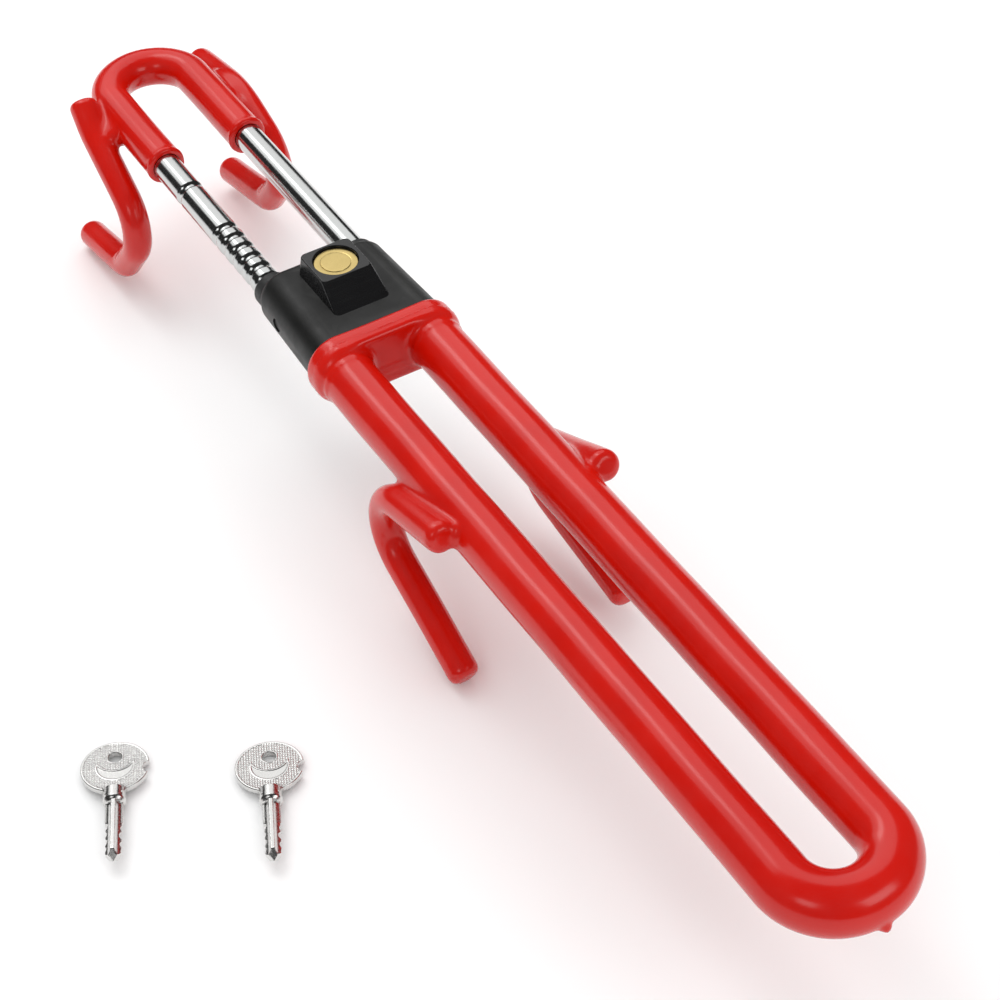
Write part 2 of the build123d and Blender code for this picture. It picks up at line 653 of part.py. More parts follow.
HEAD_WELD = (151.0, 164.0)
head_beads = weld_beads(HEAD_R, *HEAD_WELD, ((1.0, -2.0),), 3.0, head_cores)
finish(head_beads, "head_hook_welds")

head_skin_line = tube_path(LIP_Y, HEAD_BEND_Y, 1)
LIP_ROUND = 0.8
head_outer = swept_rod(head_skin_line, HEAD_R + COAT, LIP_ROUND)
with BuildPart() as head_coating:
    add(head_outer)
    add(swept_rod(head_line, HEAD_R), mode=Mode.SUBTRACT)
    with BuildSketch(Plane.XZ.offset(-LIP_Y)):
        with Locations((-HALF_SPACING, AXIS_Z), (HALF_SPACING, AXIS_Z)):
            Circle(LIP_BORE_R)
    extrude(amount=-(HEAD_TUBE_END - LIP_Y), mode=Mode.SUBTRACT)
    for core in head_cores.values():
        add(core, mode=Mode.SUBTRACT)
    add(head_beads, mode=Mode.SUBTRACT)
finish(head_coating.part, "head_coating")
export_hooks("head", HEAD_HOOKS, head_cores, head_outer, head_beads)

# =====================================================================================
# Keys, lying on the ground that the hooks stand on
# =====================================================================================
BOW_HOLE_R = 2.5
BOW_HOLE_Y = 4.6
NOTCH_R = 2.9
NOTCH_AT = (12.9, -1.6)
CRESCENT_DEPTH = 0.25
COLLAR_Y = -11.6             # where the collar meets the bow
BITTING = ((-28.0, 0.9), (-32.5, 0.6), (-37.0, 1.0))   # cuts in the blade: place and depth
TIP_LENGTH = 3.4
BLADE_STEP = 0.3             # the blade is a little narrower beyond its shoulder
SHOULDER_Y = -27.0
CRESCENT_R = 6.5
CRESCENT_CUT = (5.0, 7.4)    # place along Y and radius of the circle that leaves the crescent
FACE_CHAMFER = 0.3
COLLAR_CHAMFER = 1.2
key_tip_y = COLLAR_Y - COLLAR_LENGTH - BLADE_LENGTH
# A key lies on its collar and on the far edge of its bow.
key_tilt = degrees(asin((COLLAR_R - BOW_T / 2) / (BOW_R - COLLAR_Y)))


def blade_outline():
    """Half-span of a web of the blade, with its cuts and its pointed end."""
    half = KEY_SPAN / 2
    start = COLLAR_Y - COLLAR_LENGTH
    with BuildLine() as outline:
        points = [(half, start), (half, SHOULDER_Y)]
        for y, depth in BITTING:
            points += [(half - BLADE_STEP, y + 1.4), (half - depth, y), (half - depth, y - 0.8),
                       (half - BLADE_STEP, y - 2.2)]
        points += [(half - BLADE_STEP, key_tip_y + TIP_LENGTH), (0.4, key_tip_y)]
        mirrored = [(-x, y) for x, y in reversed(points)]
        Polyline(*points, *mirrored, close=True)
    make_face(outline.edges())


with BuildPart() as key_blank:
    with BuildSketch(Plane.XY.offset(-BOW_T / 2)):
        Circle(BOW_R)
        with Locations((0, BOW_HOLE_Y)):
            Circle(BOW_HOLE_R, mode=Mode.SUBTRACT)
        with Locations(NOTCH_AT):
            Circle(NOTCH_R, mode=Mode.SUBTRACT)
    extrude(amount=BOW_T)
    flats = key_blank.faces().filter_by(Axis.Z)
    chamfer([flats[0].outer_wire().edges(), flats[-1].outer_wire().edges()], FACE_CHAMFER)
    for z, sense in ((BOW_T / 2, -1), (-BOW_T / 2, 1)):
        with BuildSketch(Plane.XY.offset(z)):
            Circle(CRESCENT_R)
            with Locations((0, CRESCENT_CUT[0])):
                Circle(CRESCENT_CUT[1], mode=Mode.SUBTRACT)
        extrude(amount=sense * CRESCENT_DEPTH, mode=Mode.SUBTRACT)
    with BuildSketch(Plane.XZ.offset(-COLLAR_Y)):
        Circle(COLLAR_R)
    extrude(amount=COLLAR_LENGTH)
    chamfer(key_blank.faces().sort_by(Axis.Y)[0].edges(), COLLAR_CHAMFER)
    for web_plane in (Plane.XY, Plane((0, 0, 0), x_dir=(0, 0, 1), z_dir=(-1, 0, 0))):
        with BuildSketch(web_plane.offset(-KEY_WEB / 2)):
            blade_outline()
        extrude(amount=KEY_WEB)

for number, (x, y, ground) in enumerate(KEY_PLACES, start=1):
    lie = Location((x, y, 0), (0, 0, -KEY_HEADING)) * Location((0, 0, 0), (-key_tilt, 0, 0))
    with BuildPart() as key:
        add(key_blank.part.moved(lie))
    drop = ground - key.part.bounding_box().min.Z
    finish(key.part.moved(Location((0, 0, drop))), f"key_{number}")
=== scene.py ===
"""Looks of the steering wheel lock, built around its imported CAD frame.

Shapes that are dipped, stamped or turned are drawn as fields: functions of (x, y, z) in millimetres
that are negative inside the piece. surface_net() turns a field into a mesh in metres.
"""
import json
from math import acos, cos, pi, radians, sin, tan

import bpy
import numpy as np
from mathutils import Matrix, Vector


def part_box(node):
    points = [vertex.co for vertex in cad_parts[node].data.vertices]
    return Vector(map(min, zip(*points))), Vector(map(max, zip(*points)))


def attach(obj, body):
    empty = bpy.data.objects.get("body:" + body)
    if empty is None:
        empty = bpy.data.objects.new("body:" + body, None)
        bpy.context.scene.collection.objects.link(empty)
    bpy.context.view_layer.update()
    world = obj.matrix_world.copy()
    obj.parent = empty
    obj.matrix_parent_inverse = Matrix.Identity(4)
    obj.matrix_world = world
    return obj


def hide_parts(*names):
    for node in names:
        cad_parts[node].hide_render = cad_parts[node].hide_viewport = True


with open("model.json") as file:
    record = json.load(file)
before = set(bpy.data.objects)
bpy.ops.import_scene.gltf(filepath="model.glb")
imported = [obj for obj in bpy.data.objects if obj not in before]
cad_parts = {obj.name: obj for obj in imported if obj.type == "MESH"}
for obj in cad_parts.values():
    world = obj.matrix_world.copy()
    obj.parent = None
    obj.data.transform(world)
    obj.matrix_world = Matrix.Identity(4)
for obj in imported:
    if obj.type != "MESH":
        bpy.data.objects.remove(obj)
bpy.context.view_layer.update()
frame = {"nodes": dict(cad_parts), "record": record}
MM = 0.001


def box_mm(node):
    """Lowest and highest corner of a CAD node, in millimetres."""
    low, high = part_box(node)
    return low / MM, high / MM


# ---- places read from the frame, in millimetres ----
tube_low, tube_high = box_mm("handle_tube")
head_low, head_high = box_mm("head_tube")
skin_low, skin_high = box_mm("flange_coating")
dip_low, dip_high = box_mm("handle_coating")
weld_low, weld_high = box_mm("head_hook_welds")
AXIS_Z = (tube_low.z + tube_high.z) / 2
TUBE_R = (tube_high.z - tube_low.z) / 2
SPACING = tube_high.x - TUBE_R                  # from the middle plane to a tube's axis
HANDLE_BEND_Y = tube_low.y + TUBE_R + SPACING   # centre of the end bend
COAT = (dip_high.z - dip_low.z) / 2 - TUBE_R
HEAD_R = (head_high.z - head_low.z) / 2
HEAD_BEND_Y = head_high.y - HEAD_R - SPACING
LIP_Y = box_mm("head_coating")[0].y
FLANGE_FRONT = skin_high.y
FLANGE_BACK = skin_low.y
FLANGE_HALF = ((skin_high.x - skin_low.x) / 2, (skin_high.z - skin_low.z) / 2)


# =====================================================================================
# Fields
# =====================================================================================
def soft_min(a, b, reach):
    """Union of two fields with a fillet; reach sets how wide it is."""
    share = np.clip(0.5 + 0.5 * (b - a) / reach, 0, 1)
    return b + (a - b) * share - reach * share * (1 - share)


def soft_max(a, b, reach):
    """Intersection of two fields with a rounded edge."""
    return -soft_min(-a, -b, reach)


def bump(distance, width):
    """One at distance zero, falling to nothing over about twice the width."""
    return np.exp(-((distance / width) ** 2))


def rounded_path(corners, radii):
    """Straight runs and arcs of a polyline with rounded corners, in its own plane."""
    points = [np.array(corner, float) for corner in corners]
    runs, arcs, start = [], [], points[0]
    for before, at, after, radius in zip(points, points[1:], points[2:], radii):
        back = (before - at) / np.linalg.norm(before - at)
        ahead = (after - at) / np.linalg.norm(after - at)
        half = acos(float(back @ ahead)) / 2
        inward = (back + ahead) / np.linalg.norm(back + ahead)
        runs.append((start, at + back * radius / tan(half)))
        arcs.append((at + inward * radius / sin(half), radius, -inward, pi / 2 - half))
        start = at + ahead * radius / tan(half)
    runs.append((start, points[-1]))
    return runs, arcs


def path_distance(u, v, path):
    """Distance from the points (u, v) to a path in the same plane."""
    runs, arcs = path
    nearest = np.full(u.shape, np.inf)
    for start, end in runs:
        du, dv = end - start
        along = ((u - start[0]) * du + (v - start[1]) * dv) / (du * du + dv * dv)
        along = np.clip(along, 0, 1)
        away = np.hypot(u - start[0] - along * du, v - start[1] - along * dv)
        nearest = np.minimum(nearest, away)
    for centre, radius, middle, half in arcs:
        pu, pv = u - centre[0], v - centre[1]
        far = np.hypot(pu, pv)
        within = pu * middle[0] + pv * middle[1] >= far * cos(half)
        nearest = np.where(within, np.minimum(nearest, np.abs(far - radius)), nearest)
    return nearest


# A hook lies in a plane that stands out from the middle, runs along the lock and leans: its corners
# are (along, up) in that plane, from the height of the tubes. Side +1 is on the right.
HOOK_R = 5.0 + COAT
END_TURN = 3.8
SPARE_END = 9.0              # the bar is drawn this much too long, then cut square and rounded
REAR_HOOKS = {
    1: {"out": 33.7, "lean": -0.017, "radii": (14.3,),
        "corners": ((-139.6, 4.4), (-58.0, -36.9), (-151.9, -52.9))},
    -1: {"out": 33.7, "lean": 0.001, "radii": (17.5,),
         "corners": ((-138.5, 3.7), (-61.3, -18.8), (-149.0, -58.8))},
}
HEAD_HOOKS = {
    1: {"out": 32.0, "lean": -0.037, "radii": (37.0, 16.8, 13.2),
        "corners": ((193.0, -9.9), (152.7, -2.2), (109.6, -19.7), (135.8, -51.2), (179.2, -62.4))},
    -1: {"out": 33.4, "lean": -0.060, "radii": (34.0, 16.7, 9.0),
         "corners": ((169.3, 6.7), (159.2, -2.9), (112.0, -27.0), (137.0, -58.1), (175.5, -65.6))},
}


def hook_field(hook, side, x, y, z):
    """One coated bar, its ends flat with rounded edges."""
    corners = [np.array(corner) for corner in hook["corners"]]
    size = (1 + hook["lean"] ** 2) ** 0.5
    out = side * x - hook["out"]
    up = z - AXIS_Z
    v = (hook["lean"] * out + up) / size
    w = (out - hook["lean"] * up) / size
    first = (corners[0] - corners[1]) / np.linalg.norm(corners[0] - corners[1])
    last = (corners[-1] - corners[-2]) / np.linalg.norm(corners[-1] - corners[-2])
    longer = [corners[0] + first * SPARE_END, *corners[1:-1], corners[-1] + last * SPARE_END]
    bar = np.hypot(path_distance(y, v, rounded_path(longer, hook["radii"])), w) - HOOK_R
    for end, way in ((corners[0], first), (corners[-1], last)):
        beyond = (y - end[0]) * way[0] + (v - end[1]) * way[1] - COAT
        near = np.hypot(y - end[0], v - end[1]) < 3 * SPARE_END    # leaves the other end whole
        bar = np.where(near, soft_max(bar, beyond, END_TURN), bar)
    return bar


def both_hooks(hooks, x, y, z):
    """Left and right hook together."""
    return np.minimum(*(hook_field(hook, side, x, y, z) for side, hook in hooks.items()))


def bent_tube(x, y, z, bend_y, side, radius):
    """U of two tubes and a half-circle bend; side is +1 when the bend is at the front."""
    across = np.where((y - bend_y) * side > 0, np.hypot(x, y - bend_y), np.abs(x))
    return np.hypot(across - SPACING, z - AXIS_Z) - radius


RIPPLE = 0.045


def ripple(x, y, z):
    """Slow unevenness that dipping leaves on a coating."""
    return RIPPLE * (np.sin(y / 8.3 + x / 4.7) + np.sin(y / 13.1 - z / 5.9 + x / 9.0 + 1.7))


# A *_REACH is the width of a fillet, and a *_TURN is the width of an edge's rounding.
WEB_REACH = 3.4              # between a hook and its tube
FLANGE_REACH = 4.0           # between the tubes and the flange
FLANGE_TURN = 2.9
FRONT_TURN = 1.6
RIM_FLAT = 0.8               # half the height of the flat part of the flange's ends
RIM_RIDGES = ((3.3, 0.30), (4.1, -0.34))        # round the rim: (from its back, height)
RIM_RIDGE_WIDTH = 0.4
BACK_CREASES = (-4.2, -6.6)  # across the back, from the tubes' axis
BACK_CREASE_DEPTH, BACK_CREASE_WIDTH = 0.28, 0.5
SWELL_BACK, SWELL, SWELL_WIDTH = 3.4, 0.5, 1.1  # a ring on each tube behind the flange
DRIP_ANGLE = radians(-25)    # the drip on the end bend hangs a little below the middle
DRIP_OUT, DRIP_R, DRIP_REACH = 0.7, 1.3, 2.6


def flange_field(x, y, z):
    """Coated end plate: rounded back edge, a crease round it and two across its back."""
    corner = FLANGE_HALF[1] - RIM_FLAT
    qx = np.abs(x) - (FLANGE_HALF[0] - corner)
    qz = np.abs(z - AXIS_Z) - (FLANGE_HALF[1] - corner)
    rim = np.hypot(np.maximum(qx, 0), np.maximum(qz, 0)) + np.minimum(np.maximum(qx, qz), 0)
    rim = rim - corner
    for from_back, height in RIM_RIDGES:
        rim = rim - height * bump(y - FLANGE_BACK - from_back, RIM_RIDGE_WIDTH)
    back = FLANGE_BACK - y
    for up in BACK_CREASES:
        back = back - BACK_CREASE_DEPTH * bump(z - (AXIS_Z + up), BACK_CREASE_WIDTH)
    return soft_max(rim, back, FLANGE_TURN)


def handle_dip_field(x, y, z):
    """Coating of the handle, its flange and the rear hooks, as one dipped skin."""
    swell = SWELL * bump(y - FLANGE_BACK + SWELL_BACK, SWELL_WIDTH)
    tubes = bent_tube(x, y, z, HANDLE_BEND_Y, -1, TUBE_R + COAT) - swell
    skin = soft_min(tubes, both_hooks(REAR_HOOKS, x, y, z), WEB_REACH)
    skin = soft_min(skin, flange_field(x, y, z), FLANGE_REACH)
    out = TUBE_R + COAT + DRIP_OUT
    drip_y = HANDLE_BEND_Y - SPACING - out * cos(DRIP_ANGLE)
    drip_z = AXIS_Z + out * sin(DRIP_ANGLE)
    drip = np.sqrt(x ** 2 + (y - drip_y) ** 2 + (z - drip_z) ** 2) - DRIP_R
    skin = soft_min(skin, drip, DRIP_REACH)
    return soft_max(skin + ripple(x, y, z), y - FLANGE_FRONT, FRONT_TURN)


BEAD_OUT, BEAD_DOWN, BEAD_R = 1.0, 2.0, 3.0     # weld beads beside the head's tubes
BEAD_REACH = 3.0
LIP_TURN = 1.7
LIP_BACK, LIP_SWELL, LIP_WIDTH = 1.0, 0.4, 1.3  # the lips are rolled a little outwards
MOUTH_R = 6.2                # of the lips' holes, just clear of the rods
SPECKS = ((-3.6, 4.2), (3.0, 5.6))     # two small bumps on the head's bend: (x, below the crest)
SPECK_R, SPECK_REACH = 0.45, 0.9


def head_bead_field(x, y, z):
    """Coated weld beads between the head's tubes and its hooks."""
    beyond = np.maximum(np.maximum(weld_low.y - y, y - weld_high.y), 0)
    across = np.abs(x) - SPACING - HEAD_R - BEAD_OUT
    return np.sqrt(across ** 2 + (z - AXIS_Z + BEAD_DOWN) ** 2 + beyond ** 2) - BEAD_R - COAT


def head_dip_field(x, y, z):
    """Coating of the head and its hooks, ending in two rolled lips round the rods."""
    swell = LIP_SWELL * bump(y - LIP_Y - LIP_BACK, LIP_WIDTH)
    tubes = bent_tube(x, y, z, HEAD_BEND_Y, 1, HEAD_R + COAT) - swell
    tubes = soft_max(tubes, LIP_Y - y, LIP_TURN)
    tubes = soft_min(tubes, head_bead_field(x, y, z), BEAD_REACH)
    skin = soft_min(tubes, both_hooks(HEAD_HOOKS, x, y, z), WEB_REACH)
    for speck_x, below in SPECKS:
        speck_y = HEAD_BEND_Y + SPACING - below
        speck_z = AXIS_Z + ((HEAD_R + COAT) ** 2 - below ** 2) ** 0.5
        far = np.sqrt((x - speck_x) ** 2 + (y - speck_y) ** 2 + (z - speck_z) ** 2)
        skin = soft_min(skin, far - SPECK_R, SPECK_REACH)
    return skin + ripple(x, y, z)


# ---- key, with its bow's centre at the origin, its blade along -Y and its faces across Z ----
# A *_LINE is a raised or sunk line on the bow: its height or depth, and its width.
BOW_R = 12.4
BOW_HALF = 1.1
BOW_HOLE = (4.6, 2.5)                   # place along Y and radius
NOTCH = (12.9, -1.6, 2.9)               # x, y and radius
BOW_FIELD_R = 11.5                      # of its patterned field
BOW_EDGE = 0.45                         # width of the plain border round hole and crescent
BOW_LINE_R, BOW_LINE = 11.95, (0.05, 0.3)
BOW_NECK = (-12.6, 4.6, 3.4)            # plain patch at the collar: place, half width and length
BOW_SINK, BOW_SLOPE = 0.16, 0.25        # depth of that field, and width of the slope down to it
PIP_PITCH, PIP_RISE = 0.93, 0.17
PIP_HALF, PIP_SLOPE = 0.34, 0.14
PIP_LINE = (0.05, 0.12)
CRESCENT = (6.6, 5.0, 7.4)              # radius, and the place and radius of the circle it loses
CRESCENT_LINE = (0.07, 0.22)
COLLAR = (-11.6, -18.6, 4.2)            # rear end, front end and radius
COLLAR_BEVEL = 1.3
COLLAR_FLUTE = (5.0, 2.5)               # place out along X and Z, and radius
SHOULDER = (-11.9, 4.1, 2.3, 2.1)       # lump between bow and collar: place, and half its sizes
BLADE_HALF = 3.2
FLUTE_R, FLUTE_OUT = 2.55, 0.55         # radius, and centre beyond the blade's sides
FLUTE_FADE = (0.4, 2.6, 0.9)            # start before the collar, length and rise
BLADE_STEP = (-28.0, 0.35)              # the side wings get narrower from here on, by this much
TIP_Y = -45.2
POINT_SLOPE = (0.72, 0.69)
CUT_OUT, CUT_SHRINK, CUT_LEAN = 0.45, 0.8, 0.25
CUTS = ((-1, -29.6, 1.5), (-1, -33.4, 1.25), (-1, -37.0, 1.4), (-1, -40.4, 1.2),
        (1, -30.6, 1.2), (1, -34.0, 1.55), (1, -38.3, 1.3), (1, -41.4, 1.0))  # side, y, radius


def crescent(x, y):
    """Field, in the bow's plane, of the smooth crescent that the mark would be on."""
    return np.maximum(np.hypot(x, y) - CRESCENT[0], CRESCENT[2] - np.hypot(x, y - CRESCENT[1]))


def bow_height(x, y):
    """Height of the bow's face above its middle plane: rim, pips, crescent and borders."""
    radial = np.hypot(x, y)
    hole = np.hypot(x, y - BOW_HOLE[0]) - BOW_HOLE[1]
    moon = crescent(x, y)
    neck = np.hypot(x / BOW_NECK[1], (y - BOW_NECK[0]) / BOW_NECK[2]) - 1
    clear = np.minimum(BOW_FIELD_R - radial, hole - BOW_EDGE)
    clear = np.minimum(clear, np.minimum(moon - BOW_EDGE, neck * 3))
    field = np.clip(clear / BOW_SLOPE, 0, 1)
    px = x - PIP_PITCH * np.round(x / PIP_PITCH)
    py = y - PIP_PITCH * np.round(y / PIP_PITCH)
    square = (px ** 4 + py ** 4) ** 0.25
    pip = np.clip((PIP_HALF - square) / PIP_SLOPE, 0, 1)
    floor = -BOW_SINK * field + PIP_RISE * field * pip
    floor = floor - PIP_LINE[0] * field * bump(square, PIP_LINE[1])
    sunk = -BOW_SINK * np.clip(-moon / BOW_SLOPE, 0, 1)
    sunk = sunk + CRESCENT_LINE[0] * bump(moon, CRESCENT_LINE[1])
    return BOW_HALF + floor + sunk + BOW_LINE[0] * bump(radial - BOW_LINE_R, BOW_LINE[1])


def blade_field(x, y, z):
    """Four-winged blade milled out of round bar, with cuts along its two side wings."""
    section = np.maximum(np.abs(x), np.abs(z)) - BLADE_HALF
    before, length, rise = FLUTE_FADE
    fade = np.clip((y - COLLAR[1] + before) / length, 0, None)     # they run out in the collar
    reach = BLADE_HALF + FLUTE_OUT + fade * fade * rise
    flute = np.hypot(np.abs(x) - reach, np.abs(z) - reach) - (FLUTE_R + FLUTE_OUT)
    blade = soft_max(section, -flute, 0.2)
    step = np.clip((BLADE_STEP[0] - y) / 0.5, 0, 1) * BLADE_STEP[1]
    blade = soft_max(blade, np.abs(x) - BLADE_HALF + step, 0.15)
    for side, cut_y, cut_r in CUTS:
        along = (y - cut_y) * CUT_SHRINK + CUT_LEAN * z * side
        cut = np.hypot(x - side * (BLADE_HALF + CUT_OUT), along) - cut_r
        blade = soft_max(blade, -cut, 0.2)
    widest = np.maximum(np.abs(x), np.abs(z))
    point = (widest * POINT_SLOPE[0] - (y - TIP_Y) * POINT_SLOPE[1]) - 0.15
    return soft_max(blade, point, 0.3)


def key_field(x, y, z):
    """Stamped key: round bow, round collar and cross blade."""
    radial = np.hypot(x, y)
    bow = soft_max(radial - BOW_R, np.abs(z) - bow_height(x, y), 0.5)
    bow = soft_max(bow, BOW_HOLE[1] - np.hypot(x, y - BOW_HOLE[0]), 0.35)
    bow = soft_max(bow, NOTCH[2] - np.hypot(x - NOTCH[0], y - NOTCH[1]), 0.35)
    round_bar = np.hypot(x, z)
    collar = soft_max(round_bar - COLLAR[2], y - COLLAR[0] + 0.1, 0.6)
    collar = soft_max(collar, COLLAR[1] - y, 0.3)
    bevel = (round_bar - COLLAR[2] - (y - COLLAR[1] - COLLAR_BEVEL)) * 0.7
    collar = soft_max(collar, bevel, 0.4)
    flute_at, flute_r = COLLAR_FLUTE
    flute = np.hypot(np.abs(x) - flute_at, np.abs(z) - flute_at) - flute_r
    collar = soft_max(collar, -flute, 0.5)
    place, across, deep, high = SHOULDER
    shoulder = np.sqrt((x / across) ** 2 + ((y - place) / deep) ** 2 + (z / high) ** 2)
    collar = soft_min(collar, (shoulder - 1) * 1.9, 0.6)
    blade = np.where(y < COLLAR[0] - 3, blade_field(x, y, z), 9.0)
    return soft_min(soft_min(bow, collar, 0.5), blade, 0.25)


# =====================================================================================
# Meshes
# =====================================================================================
CORNERS = [(i, j, k) for i in (0, 1) for j in (0, 1) for k in (0, 1)]
CELL_EDGES = [(a, b) for a in CORNERS for b in CORNERS
              if a < b and sum(np.abs(np.subtract(a, b))) == 1]
SLAB = 24                    # layers worked out at a time, which bounds the memory used
BEND_STEPS = 48


def field_grid(field, low, step, counts):
    """The field's value at every grid point."""
    xs, ys, zs = (low[i] + step * np.arange(counts[i]) for i in range(3))
    values = np.empty(counts, np.float32)
    for first in range(0, counts[1], SLAB):
        part = slice(first, first + SLAB)
        grid = np.meshgrid(xs, ys[part], zs, indexing="ij")
        values[:, part] = field(*grid)
    return values


def settle(field, points, step):
    """Moves points onto the field's zero surface, by Newton's method."""
    nudge = step * 0.05
    for _ in range(3):
        value = field(*points.T)
        slope = np.empty_like(points)
        for axis in range(3):
            moved = points.copy()
            moved[:, axis] += nudge
            slope[:, axis] = (field(*moved.T) - value) / nudge
        size = np.maximum((slope ** 2).sum(1), 0.05)
        shift = -slope * (value / size)[:, None]
        points = points + np.clip(shift, -step, step)
    return points


def surface_net(name, field, low, high, step, rounds=3):
    """Closed quad mesh of a field's zero surface; rounds evens out the size of the quads."""
    low = np.array(low, float)
    counts = tuple(int(n) for n in np.ceil((np.array(high) - low) / step).astype(int) + 1)
    values = field_grid(field, low, step, counts)
    inside = values < 0
    cells = tuple(n - 1 for n in counts)

    def at(corner, grid):
        return grid[tuple(slice(c, c + n) for c, n in zip(corner, cells))]

    filled = sum(at(corner, inside).astype(np.int8) for corner in CORNERS)
    mixed = (filled > 0) & (filled < 8)
    where = np.argwhere(mixed)
    number = np.full(cells, -1)
    number[mixed] = np.arange(len(where))
    total = np.zeros((len(where), 3))
    hits = np.zeros(len(where))
    for a, b in CELL_EDGES:
        fa, fb = at(a, values)[mixed], at(b, values)[mixed]
        crosses = (fa < 0) != (fb < 0)
        share = np.where(crosses, fa / np.where(crosses, fa - fb, 1), 0)
        spot = np.array(a) + share[:, None] * np.subtract(b, a)
        total += spot * crosses[:, None]
        hits += crosses
    points = low + step * (where + total / hits[:, None])
    quads = []
    for axis in range(3):
        side1, side2 = (axis + 1) % 3, (axis + 2) % 3
        span = [slice(1, n - 1) for n in counts]
        span[axis] = slice(0, cells[axis])
        ahead = list(span)
        ahead[axis] = slice(1, counts[axis])
        here, there = inside[tuple(span)], inside[tuple(ahead)]
        edge = np.argwhere(here != there) + [0 if i == axis else 1 for i in range(3)]
        leaves = here[here != there]
        ring = []
        for back1, back2 in ((1, 1), (0, 1), (0, 0), (1, 0)):
            cell = edge.copy()
            cell[:, side1] -= back1
            cell[:, side2] -= back2
            ring.append(number[tuple(cell.T)])
        ring = np.stack(ring, 1)
        quads.append(np.where(leaves[:, None], ring, ring[:, ::-1]))
    quads = np.concatenate(quads)
    for _ in range(rounds):
        near, count = np.zeros_like(points), np.zeros(len(points))
        for i in range(4):
            np.add.at(near, quads[:, i], points[quads[:, (i + 1) % 4]])
            np.add.at(near, quads[:, i], points[quads[:, (i + 3) % 4]])
            np.add.at(count, quads[:, i], 2)
        points = settle(field, (points + near / count[:, None]) / 2, step)
    return mesh_object(name, points * MM, quads)


def new_object(name, data):
    """Object in the scene that shows a mesh, light or camera."""
    made = bpy.data.objects.new(name, data)
    bpy.context.scene.collection.objects.link(made)
    return made


def mesh_object(name, points, faces):
    """Smooth-shaded object from points in metres and a list or array of faces."""
    mesh = bpy.data.meshes.new(name)
    mesh.from_pydata(np.asarray(points).tolist(), [], np.asarray(faces).tolist())
    mesh.validate()
    mesh.shade_smooth()
    return new_object(name, mesh)


def sweep_mesh(name, centres, across, up, radius, sides=64):
    """Closed tube round a line of centres; across and up span each ring."""
    turn = np.arange(sides) * 2 * pi / sides
    rings = [c + radius * (np.outer(np.cos(turn), a) + np.outer(np.sin(turn), up))
             for c, a in zip(centres, across)]
    count = len(rings)
    faces = []
    for i in range(count - 1):
        for j in range(sides):
            k = (j + 1) % sides
            faces.append([i * sides + j, i * sides + k, (i + 1) * sides + k, (i + 1) * sides + j])
    mesh = bpy.data.meshes.new(name)
    ends = [list(range(sides))[::-1], [(count - 1) * sides + j for j in range(sides)]]
    mesh.from_pydata((np.concatenate(rings) * MM).tolist(), [], faces + ends)
    return new_object(name, mesh)


def u_core(name, end_y, bend_y, side, radius):
    """Closed solid of a U tube's inside, to cut a coating hollow."""
    turns = np.linspace(0, pi, BEND_STEPS + 1)
    centres = [(-SPACING, end_y, AXIS_Z)]
    across = [(1.0, 0.0, 0.0)]
    for turn in turns:
        centres.append((-SPACING * cos(turn), bend_y + side * SPACING * sin(turn), AXIS_Z))
        across.append((cos(turn), -side * sin(turn), 0.0))
    centres.append((SPACING, end_y, AXIS_Z))
    across.append((-1.0, 0.0, 0.0))
    return sweep_mesh(name, np.array(centres), np.array(across), np.array((0, 0, 1.0)), radius)


def cut_away(piece, cutter):
    """Subtracts a closed solid from a piece, and removes the solid."""
    difference = piece.modifiers.new("cut", "BOOLEAN")
    difference.operation = "DIFFERENCE"
    difference.solver = "EXACT"
    difference.object = cutter
    shape = bpy.context.evaluated_depsgraph_get()
    mesh = bpy.data.meshes.new_from_object(piece.evaluated_get(shape))
    piece.modifiers.clear()
    piece.data = mesh
    bpy.data.objects.remove(cutter)


def crease(piece, degrees_sharp):
    """Smooth shading, with edges sharper than the angle kept hard."""
    piece.data.shade_smooth()
    piece.data.set_sharp_from_angle(angle=radians(degrees_sharp))


def lathe(name, profile, centre, sides=128):
    """Solid turned about a vertical axis; profile is (radius, height) from axis to axis."""
    turn = np.arange(sides) * 2 * pi / sides
    points = [(centre[0], centre[1], profile[0][1])]
    for radius, height in profile[1:-1]:
        for angle in turn:
            points.append((centre[0] + radius * cos(angle), centre[1] + radius * sin(angle),
                           height))
    points.append((centre[0], centre[1], profile[-1][1]))
    faces, last = [], len(points) - 1
    for j in range(sides):
        k = (j + 1) % sides
        faces.append([0, 1 + k, 1 + j])
        for i in range(len(profile) - 3):
            near, far = 1 + i * sides, 1 + (i + 1) * sides
            faces.append([near + j, near + k, far + k, far + j])
        faces.append([last, last - sides + j, last - sides + k])
    mesh = bpy.data.meshes.new(name)
    mesh.from_pydata((np.array(points) * MM).tolist(), [], faces)
    return new_object(name, mesh)


